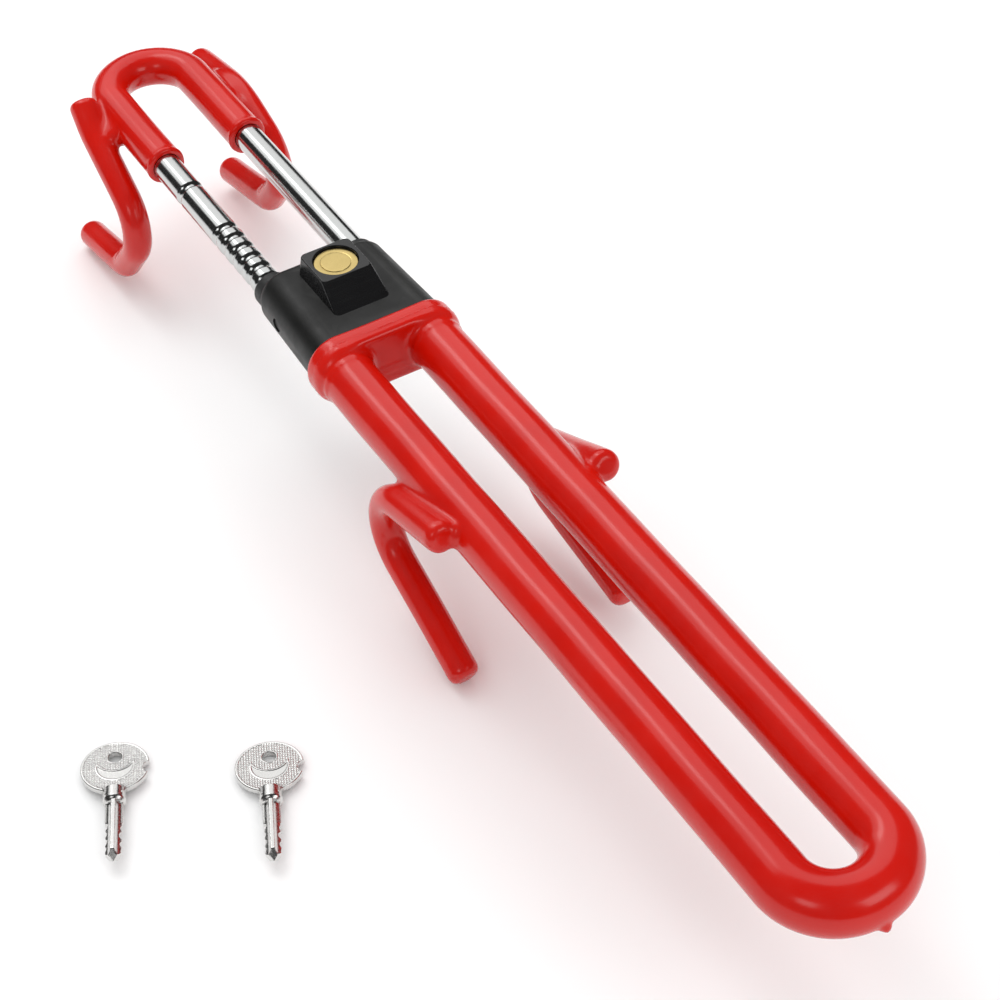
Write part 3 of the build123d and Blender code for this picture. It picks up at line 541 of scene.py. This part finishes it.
# =====================================================================================
# Materials
# =====================================================================================
class Shader:
    """Node-based material, written as short calls."""

    def __init__(self, name, color, roughness, metallic=0.0):
        self.material = bpy.data.materials.new(name)
        self.material.use_nodes = True
        self.tree = self.material.node_tree
        self.surface = self.tree.nodes["Principled BSDF"]
        self.set(**{"Base Color": (*color, 1), "Roughness": roughness, "Metallic": metallic})
        place = self.tree.nodes.new("ShaderNodeTexCoord")
        self.place = place.outputs["Object"]

    def set(self, **values):
        for socket, value in values.items():
            self.surface.inputs[socket].default_value = value

    def link(self, source, target):
        self.tree.links.new(source, target)

    def stretched(self, scale):
        """The object's own coordinates, scaled differently along each axis."""
        node = self.tree.nodes.new("ShaderNodeMapping")
        node.inputs["Scale"].default_value = scale
        self.link(self.place, node.inputs["Vector"])
        return node.outputs["Vector"]

    def noise(self, scale, detail=3.0, roughness=0.5, stretch=None):
        node = self.tree.nodes.new("ShaderNodeTexNoise")
        node.inputs["Scale"].default_value = scale
        node.inputs["Detail"].default_value = detail
        node.inputs["Roughness"].default_value = roughness
        self.link(self.stretched(stretch) if stretch else self.place, node.inputs["Vector"])
        return node.outputs["Fac"]

    def cells(self, scale):
        node = self.tree.nodes.new("ShaderNodeTexVoronoi")
        node.inputs["Scale"].default_value = scale
        self.link(self.place, node.inputs["Vector"])
        return node.outputs["Distance"]

    def edges(self):
        """Bright on convex edges, from the mesh's own curvature."""
        return self.tree.nodes.new("ShaderNodeNewGeometry").outputs["Pointiness"]

    def spread(self, source, from_range, to_range):
        node = self.tree.nodes.new("ShaderNodeMapRange")
        ends = ("From Min", "From Max", "To Min", "To Max")
        for socket, value in zip(ends, from_range + to_range):
            node.inputs[socket].default_value = value
        self.link(source, node.inputs["Value"])
        return node.outputs["Result"]

    def mix(self, factor, first, second):
        """Colour between two colours; either may be a socket."""
        node = self.tree.nodes.new("ShaderNodeMix")
        node.data_type = "RGBA"
        self.link(factor, node.inputs["Factor"])
        for socket, value in ((node.inputs[6], first), (node.inputs[7], second)):
            if isinstance(value, bpy.types.NodeSocket):
                self.link(value, socket)
            else:
                socket.default_value = (*value, 1)
        return node.outputs[2]

    def color(self, source):
        self.link(source, self.surface.inputs["Base Color"])

    def roughness(self, source):
        self.link(source, self.surface.inputs["Roughness"])

    def relief(self, layers):
        """Bumps, each (source, depth in millimetres, strength), one over another."""
        normal = None
        for source, depth, strength in layers:
            node = self.tree.nodes.new("ShaderNodeBump")
            node.inputs["Distance"].default_value = depth * MM
            node.inputs["Strength"].default_value = strength
            self.link(source, node.inputs["Height"])
            if normal:
                self.link(normal, node.inputs["Normal"])
            normal = node.outputs["Normal"]
        self.link(normal, self.surface.inputs["Normal"])


def red_dip():
    """Glossy dipped PVC: even red, faint flow marks, dust pits and rubbed patches."""
    shader = Shader("red_dip", (0.54, 0.005, 0.0008), 0.2)
    flow = shader.noise(38, 3, 0.5)
    shader.color(shader.mix(shader.spread(flow, (0.35, 0.65), (0, 1)),
                            (0.51, 0.0040, 0.0006), (0.56, 0.0058, 0.0011)))
    rubbed = shader.noise(90, 5, 0.62)
    shader.roughness(shader.spread(rubbed, (0.3, 0.75), (0.17, 0.27)))
    shader.set(**{"Specular IOR Level": 0.42, "Coat Weight": 0.12, "Coat Roughness": 0.1})
    shader.relief(((shader.noise(110, 2), 0.04, 0.4), (shader.noise(1500, 2), 0.003, 0.4)))
    return shader.material


def chrome():
    """Bright chrome plate with fine lengthwise polishing lines and a few handling marks."""
    shader = Shader("chrome", (0.56, 0.57, 0.565), 0.1, 1.0)
    haze = shader.noise(60, 4, 0.6)
    lines = shader.noise(900, 3, 0.6, (1, 0.04, 1))
    shader.color(shader.mix(haze, (0.52, 0.53, 0.525), (0.60, 0.61, 0.605)))
    shader.roughness(shader.spread(haze, (0.3, 0.75), (0.13, 0.21)))
    shader.relief(((lines, 0.004, 0.35), (shader.noise(210, 2), 0.01, 0.3)))
    return shader.material


def satin_black():
    """Powder-coated zinc casting, fine grain; a painted highlight lightens its convex edges."""
    shader = Shader("satin_black", (0.009, 0.009, 0.009), 0.42)
    grain = shader.noise(2600, 2, 0.5)
    # painted highlight: convex edges, found from the mesh's curvature, get a lighter grey
    lighter_edges = shader.spread(shader.edges(), (0.515, 0.56), (0, 0.35))
    tone = shader.mix(shader.noise(55, 4, 0.6), (0.0065, 0.0065, 0.0062), (0.0115, 0.0115, 0.011))
    shader.color(shader.mix(lighter_edges, tone, (0.05, 0.05, 0.048)))
    shader.roughness(shader.spread(shader.noise(140, 4, 0.6), (0.3, 0.7), (0.36, 0.5)))
    shader.set(**{"Specular IOR Level": 0.3})
    shader.relief(((shader.noise(420, 2), 0.03, 0.35), (grain, 0.015, 0.45)))
    return shader.material


def gloss_black():
    """Smooth moulded black plastic with fine hairline scratches."""
    shader = Shader("gloss_black", (0.007, 0.007, 0.0073), 0.24)
    scratches = shader.noise(700, 4, 0.7, (0.08, 1, 1))
    shader.color(shader.mix(shader.noise(70, 3), (0.0055, 0.0055, 0.006), (0.0095, 0.0095, 0.010)))
    shader.roughness(shader.spread(scratches, (0.35, 0.7), (0.17, 0.32)))
    shader.relief(((shader.noise(900, 2), 0.003, 0.25), (scratches, 0.0012, 0.2)))
    return shader.material


def matte_black():
    """Moulded black nylon with a fine even texture."""
    shader = Shader("matte_black", (0.018, 0.018, 0.018), 0.55)
    shader.color(shader.mix(shader.noise(160, 4), (0.014, 0.014, 0.014), (0.024, 0.024, 0.024)))
    shader.roughness(shader.spread(shader.noise(900, 3), (0.3, 0.7), (0.44, 0.62)))
    shader.relief(((shader.cells(2400), 0.02, 0.35),))
    return shader.material


def brass(name, light, dark, rough):
    """Machined or lacquered brass, cloudy where it has dulled."""
    shader = Shader(name, light, rough[0], 1.0)
    cloud = shader.noise(240, 4, 0.6)
    shader.color(shader.mix(cloud, dark, light))
    shader.roughness(shader.spread(shader.noise(520, 4, 0.65), (0.3, 0.75), rough))
    shader.relief(((shader.noise(3200, 2), 0.006, 0.4), (shader.noise(300, 2), 0.01, 0.3)))
    return shader.material


def nickel():
    """Nickel plate on stamped brass, darker in the hollows and brighter on the high edges."""
    shader = Shader("nickel", (0.60, 0.59, 0.57), 0.25, 1.0)
    cloud = shader.noise(260, 5, 0.62)
    # lighter on convex edges and darker in hollows, from the mesh's curvature
    lighter_edges = shader.spread(shader.edges(), (0.47, 0.55), (0, 1))
    tone = shader.mix(cloud, (0.47, 0.465, 0.455), (0.64, 0.635, 0.62))
    shader.color(shader.mix(lighter_edges, tone, (0.83, 0.825, 0.81)))
    shader.roughness(shader.spread(shader.noise(900, 4, 0.65), (0.3, 0.75), (0.17, 0.34)))
    lines = shader.noise(700, 3, 0.6, (1, 0.1, 1))
    shader.relief(((shader.noise(2600, 3), 0.008, 0.4), (lines, 0.006, 0.3)))
    return shader.material


def plain_steel():
    """Drawn steel with fine lengthwise lines and a thin film of oil."""
    shader = Shader("plain_steel", (0.45, 0.45, 0.46), 0.35, 1.0)
    lines = shader.noise(800, 4, 0.6, (1, 0.05, 1))
    shader.color(shader.mix(shader.noise(80, 4), (0.36, 0.36, 0.37), (0.52, 0.52, 0.53)))
    shader.roughness(shader.spread(lines, (0.3, 0.7), (0.26, 0.46)))
    shader.relief(((lines, 0.01, 0.35),))
    return shader.material


def paper_white():
    """Matte white studio floor."""
    shader = Shader("studio_floor", (0.90, 0.90, 0.90), 0.9)
    shader.set(**{"Specular IOR Level": 0.1})
    return shader.material


def clothe(piece, material):
    """Gives a piece its only material."""
    piece.data.materials.clear()
    piece.data.materials.append(material)


# =====================================================================================
# Pieces
# =====================================================================================
MARGIN = 4.0                 # empty space round a field's grid
CORE_GAP = 0.02              # a coating stops this far from the steel in it
KEY_HEADING = radians(24.7)


def node_span(nodes):
    """Box that holds all these CAD nodes, with a margin, in millimetres."""
    boxes = [box_mm(node) for node in nodes]
    low = [min(low[i] for low, high in boxes) - MARGIN for i in range(3)]
    high = [max(high[i] for low, high in boxes) + MARGIN for i in range(3)]
    return low, high


def finish_piece(piece, degrees_sharp, material, body, nodes):
    """Shading, material and ride of a piece that replaces CAD nodes."""
    crease(piece, degrees_sharp)
    clothe(piece, material)
    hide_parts(*nodes)
    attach(piece, body)


def add_handle_dip(material, step):
    """Coating of the handle's tubes, flange and rear hooks."""
    nodes = ["handle_coating", "flange_coating",
             "rear_hook_coating_left", "rear_hook_coating_right"]
    piece = surface_net("handle_dip", handle_dip_field, *node_span(nodes), step)
    core = u_core("handle_core", FLANGE_FRONT + 3, HANDLE_BEND_Y, -1, TUBE_R + CORE_GAP)
    cut_away(piece, core)
    finish_piece(piece, 50, material, "handle", nodes)


def add_head_dip(material, step):
    """Coating of the head and its hooks, open round the two rods."""
    nodes = ["head_coating", "head_hook_coating_left", "head_hook_coating_right"]
    piece = surface_net("head_dip", head_dip_field, *node_span(nodes), step)
    cut_away(piece, u_core("head_core", head_low.y, HEAD_BEND_Y, 1, HEAD_R + CORE_GAP))
    for side in (-1, 1):
        centres = np.array([(side * SPACING, y, AXIS_Z) for y in (LIP_Y - 3, head_low.y + 1)])
        across = np.array([(-1.0, 0, 0)] * 2)
        cut_away(piece, sweep_mesh("mouth", centres, across, np.array((0, 0, 1.0)), MOUTH_R))
    finish_piece(piece, 50, material, "head", nodes)


def add_cover(material):
    """Turned brass disc: dished rim, fine ring and a very slight crown."""
    low, high = box_mm("keyway_cover")
    r, z = (high.x - low.x) / 2, high.z
    ring = 5.85              # radius of the fine ring
    profile = [(0, low.z), (r, low.z), (r, z - 0.28), (r - 0.12, z - 0.16), (r - 0.3, z - 0.13),
               (ring + 0.42, z - 0.13), (ring + 0.30, z - 0.16), (ring + 0.16, z - 0.24),
               (ring + 0.06, z - 0.24), (ring - 0.05, z - 0.05), (ring - 0.2, z - 0.02),
               (ring - 1.2, z - 0.012), (ring * 0.5, z - 0.003), (0, z)]
    piece = lathe("keyway_cover_disc", profile, ((low.x + high.x) / 2, (low.y + high.y) / 2))
    finish_piece(piece, 35, material, "cover", ["keyway_cover"])


def add_keys(material, step):
    """Two copies of one shape; each lies where its CAD node lies."""
    low = (-BOW_R - 1, TIP_Y - 1, -COLLAR[2] - 1)
    high = (BOW_R + 1, BOW_R + 1, COLLAR[2] + 1)
    master = surface_net("key_shape", key_field, low, high, step, 2)
    crease(master, 60)
    clothe(master, material)
    for number, body in ((1, "first_key"), (2, "second_key")):
        node = frame["nodes"][f"key_{number}"]
        shape = master.data.copy()
        shape.transform(key_place(node))
        piece = new_object(f"cut_key_{number}", shape)
        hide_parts(node.name)
        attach(piece, body)
    bpy.data.objects.remove(master)


def key_place(node):
    """Where a key lies, from its CAD mesh: bow's centre, heading and tilt."""
    points = np.array([v.co for v in node.data.vertices])
    ahead = np.array((-sin(KEY_HEADING), -cos(KEY_HEADING)))
    along = points[:, :2] @ ahead
    tail, tip = along.min(), along.max()
    tail_points = points[along < tail + 0.3 * MM]
    tip_points = points[along > tip - 0.05 * MM]
    middle_tail, middle_tip = tail_points.mean(0), tip_points.mean(0)
    rise = (middle_tip[2] - middle_tail[2]) / (BOW_R - TIP_Y) / MM
    y_axis = Vector((-ahead[0], -ahead[1], -rise)).normalized()
    x_axis = y_axis.cross(Vector((0, 0, 1))).normalized()
    z_axis = x_axis.cross(y_axis)
    centre = Vector(middle_tail) - y_axis * BOW_R * MM
    turn = Matrix((x_axis, y_axis, z_axis)).transposed().to_4x4()
    return Matrix.Translation(centre) @ turn


def dress_nodes(materials):
    """Every CAD node gets the material of its record slot."""
    slots = {row["node"]: row["material_slot"] for row in frame["record"]["subparts"]}
    for name, node in frame["nodes"].items():
        clothe(node, materials[slots[name]])


# =====================================================================================
# Camera, floor and light
# =====================================================================================
CAMERA_AT = Vector((-0.3096, -0.6722, 0.6228))
CAMERA_RIGHT = Vector((0.8555, -0.5167, -0.0324)).normalized()
CAMERA_VIEW = Vector((0.3493, 0.6223, -0.7005)).normalized()
LENS = 87.9
FLOOR_HALF = 3.0
FLOOR_GAP = 0.0003
FILL = 0.85                  # the world's brightness on matt surfaces
FILL_IN_GLOSS = 0.03         # and in reflections


def add_camera():
    """Camera at the photograph's viewing angle."""
    camera = new_object("camera", bpy.data.cameras.new("camera"))
    camera.data.lens = LENS
    camera.data.sensor_width = 36.0
    up = CAMERA_RIGHT.cross(CAMERA_VIEW)
    turn = Matrix((CAMERA_RIGHT, up, -CAMERA_VIEW)).transposed().to_4x4()
    camera.matrix_world = Matrix.Translation(CAMERA_AT) @ turn
    bpy.context.scene.camera = camera


def lowest(names):
    """Lowest vertex of these CAD nodes."""
    points = [v.co for name in names for v in frame["nodes"][name].data.vertices]
    return min(points, key=lambda point: point.z)


def add_floor():
    """Floor under the four hook ends; it slopes a little, because the head's hooks reach lower."""
    rear = lowest(("rear_hook_coating_left", "rear_hook_coating_right"))
    front = lowest(("head_hook_coating_left", "head_hook_coating_right"))
    slope = (front.z - rear.z) / (front.y - rear.y)
    corners = [(x * FLOOR_HALF, y * FLOOR_HALF,
                rear.z + slope * (y * FLOOR_HALF - rear.y) - FLOOR_GAP)
               for x, y in ((-1, -1), (1, -1), (1, 1), (-1, 1))]
    floor = mesh_object("studio_floor", corners, [[0, 1, 2, 3]])
    clothe(floor, paper_white())


def add_softbox(name, at, towards, size, power):
    """Rectangular area light at a place, turned towards another; size in metres, power in watts."""
    light = new_object(name, bpy.data.lights.new(name, "AREA"))
    light.data.shape = "RECTANGLE"
    light.data.size, light.data.size_y = size
    light.data.energy = power
    light.location = at
    light.rotation_euler = (Vector(towards) - Vector(at)).to_track_quat("-Z", "Y").to_euler()


def add_world():
    """Even white fill on matt surfaces; glossy ones see a dark studio round the softboxes."""
    world = bpy.data.worlds.new("studio")
    bpy.context.scene.world = world
    world.use_nodes = True
    tree = world.node_tree
    path = tree.nodes.new("ShaderNodeLightPath")
    strength = tree.nodes.new("ShaderNodeMapRange")
    strength.inputs["To Min"].default_value = FILL
    strength.inputs["To Max"].default_value = FILL_IN_GLOSS
    tree.links.new(path.outputs["Is Glossy Ray"], strength.inputs["Value"])
    background = tree.nodes["Background"]
    background.inputs["Color"].default_value = (1, 1, 1, 1)
    tree.links.new(strength.outputs["Result"], background.inputs["Strength"])
    bpy.context.scene.view_settings.view_transform = "Standard"


def add_lights():
    """Two softboxes over the far end, two small ones in front for the end bend, and the world."""
    middle = (0.0, -0.07, 0.0)
    front = (0, -0.3, 0)
    add_softbox("wide_softbox", (0.15, 0.85, 1.10), middle, (1.8, 1.5), 10.0)
    add_softbox("bright_softbox", (-0.11, 0.78, 1.15), middle, (0.3, 0.9), 2.2)
    add_softbox("front_softbox_right", (0.42, -1.20, 0.75), front, (0.72, 0.5), 2.8)
    add_softbox("front_softbox_left", (-0.95, -0.80, 0.90), front, (0.46, 0.4), 1.3)
    add_world()


# =====================================================================================
# The scene
# =====================================================================================
DIP_STEP = 1.0               # grid steps, in millimetres
KEY_STEP = 0.17

add_camera()
red = red_dip()
steel = plain_steel()
raw_brass = brass("raw_brass", (0.76, 0.60, 0.27), (0.66, 0.50, 0.21), (0.24, 0.42))
cover_brass = brass("cover_brass", (0.66, 0.51, 0.21), (0.58, 0.44, 0.17), (0.26, 0.38))
key_metal = nickel()
dress_nodes({"red_coating": red, "steel": steel, "black_casting": satin_black(),
             "black_plastic": matte_black(), "boss_plastic": gloss_black(), "brass": raw_brass,
             "cover_brass": cover_brass, "chrome": chrome(), "key_nickel": key_metal})
add_handle_dip(red, DIP_STEP)
add_head_dip(red, DIP_STEP)
add_cover(cover_brass)
add_keys(key_metal, KEY_STEP)
add_floor()
add_lights()
